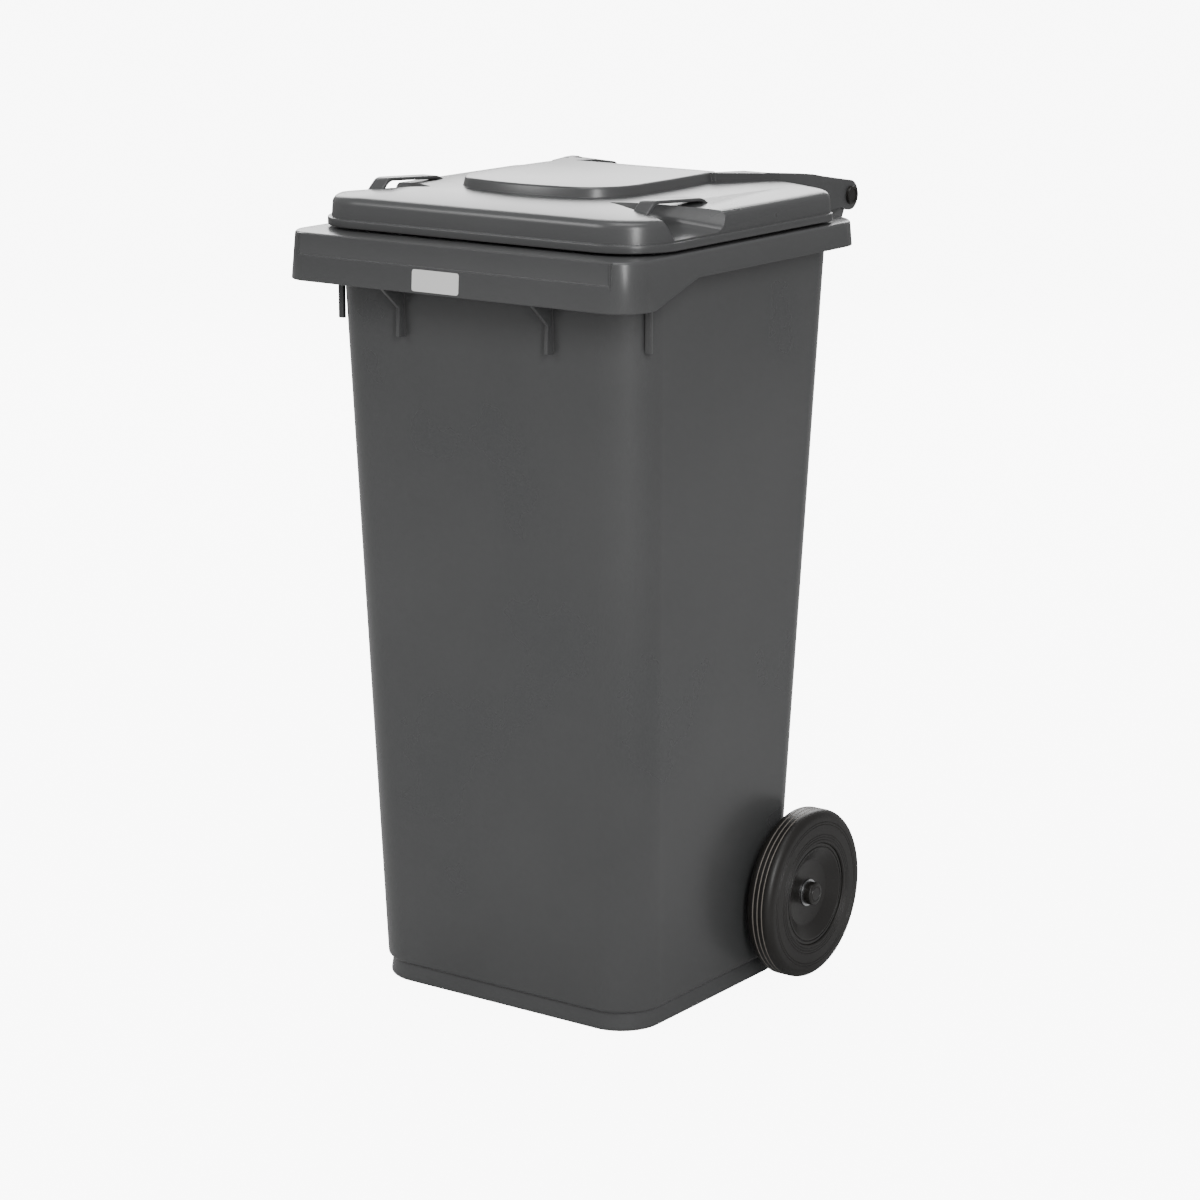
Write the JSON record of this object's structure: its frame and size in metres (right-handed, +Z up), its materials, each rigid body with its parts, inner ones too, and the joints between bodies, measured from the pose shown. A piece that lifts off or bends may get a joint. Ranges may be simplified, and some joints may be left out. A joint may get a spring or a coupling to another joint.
{
  "type": "wheelie bin",
  "caption": "Upright two-wheeled refuse bin: tapered tub with a comb rim, a hinged lid with side grips, and rubber-tyred wheels on a steel axle.",
  "frame": {"origin": "on the floor, under the middle of the bin's outline", "axes": "+Z up, -Y to the front of the bin, +X to the right of someone who looks along +Y at its front"},
  "size_m": [0.48, 0.5553, 0.941],
  "materials": {
    "grey_plastic": "satin moulded polyethylene",
    "black_plastic": "satin",
    "tyre_rubber": "matt solid rubber",
    "galvanised_steel": "zinc plated",
    "label_paper": "matt printed film"
  },
  "bodies": {
    "bin": {"body": "grey_plastic", "axle": "galvanised_steel", "axle_spacer_left": "black_plastic", "axle_spacer_right": "black_plastic", "hinge_sleeve_left": "black_plastic", "hinge_sleeve_right": "black_plastic", "hinge_plug_left": "black_plastic", "hinge_plug_right": "black_plastic", "axle_washer_left": "galvanised_steel", "axle_washer_right": "galvanised_steel", "push_nut_left": "galvanised_steel", "push_nut_right": "galvanised_steel", "axle_cap_left": "black_plastic", "axle_cap_right": "black_plastic", "label": "label_paper"},
    "lid": {"lid": "grey_plastic"},
    "wheel_left": {"wheel_hub_left": "black_plastic", "tyre_left": "tyre_rubber"},
    "wheel_right": {"wheel_hub_right": "black_plastic", "tyre_right": "tyre_rubber"}
  },
  "joints": [
    {"name": "lid_hinge", "type": "hinge", "parent": "bin", "child": "lid", "pos_m": [0, 0.26, 0.901], "axis": [-1, 0, 0], "range_deg": [0, 270]},
    {"name": "wheel_left_spin", "type": "hinge", "parent": "bin", "child": "wheel_left", "pos_m": [-0.22, 0.1045, 0.1], "axis": [1, 0, 0], "continuous": true},
    {"name": "wheel_right_spin", "type": "hinge", "parent": "bin", "child": "wheel_right", "pos_m": [0.22, 0.1045, 0.1], "axis": [1, 0, 0], "continuous": true}
  ]
}
